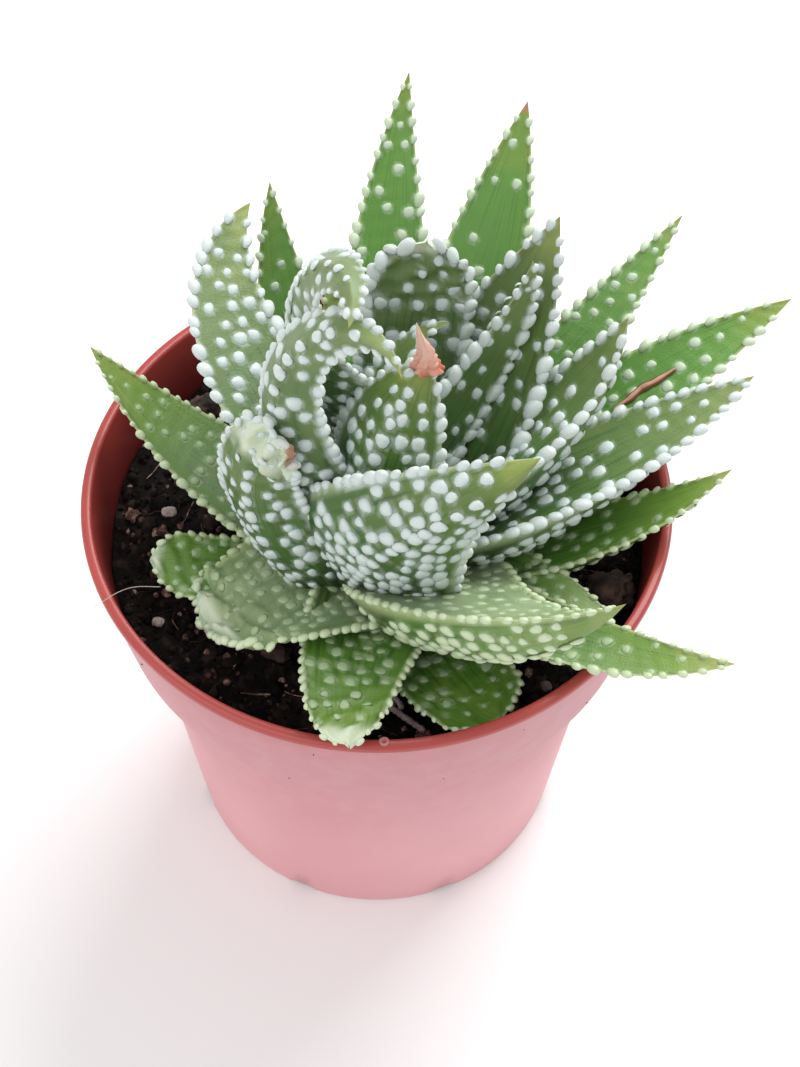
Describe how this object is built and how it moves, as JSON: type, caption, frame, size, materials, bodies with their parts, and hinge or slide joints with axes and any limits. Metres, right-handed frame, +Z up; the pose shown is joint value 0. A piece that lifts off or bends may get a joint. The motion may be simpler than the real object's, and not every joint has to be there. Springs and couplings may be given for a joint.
{
  "type": "potted haworthia",
  "caption": "Small potted succulent: a rosette of pointed, keeled green leaves covered in raised white tubercles, in a round tapered plastic nursery pot of dark soil.",
  "frame": {"origin": "centre of the pot's flat base, on the surface it stands on", "axes": "+Z up along the pot axis, -Y to the front from where the picture looks, +X to its right"},
  "size_m": [0.1256, 0.1196, 0.1542],
  "materials": {
    "pot_plastic": "satin",
    "soil": "matte",
    "leaf": "satin",
    "dried": "matte",
    "bark": "matte",
    "perlite": "matte"
  },
  "bodies": {
    "root": {"pot": "pot_plastic", "soil": "soil", "stem": "leaf", "leaf_01": "leaf", "leaf_02": "leaf", "leaf_03": "leaf", "leaf_04": "leaf", "leaf_05": "leaf", "leaf_06": "leaf", "leaf_07": "leaf", "leaf_08": "leaf", "leaf_09": "leaf", "leaf_10": "leaf", "leaf_11": "leaf", "leaf_12": "leaf", "leaf_13": "leaf", "leaf_14": "leaf", "leaf_15": "leaf", "leaf_16": "leaf", "leaf_17": "leaf", "leaf_18": "leaf", "leaf_19": "leaf", "leaf_20": "leaf", "leaf_21": "leaf", "leaf_22": "leaf", "leaf_23": "leaf", "leaf_24": "leaf", "leaf_25": "leaf", "leaf_26": "leaf", "leaf_27": "leaf", "leaf_28": "leaf", "dried_tip": "dried", "dried_root_front": "dried", "dried_root_short": "dried", "dried_root_right": "dried", "bark_lump": "bark", "bark_chip": "bark", "bark_chunk_back": "bark", "perlite_left": "perlite", "perlite_front": "perlite", "perlite_right": "perlite"}
  },
  "joints": []
}
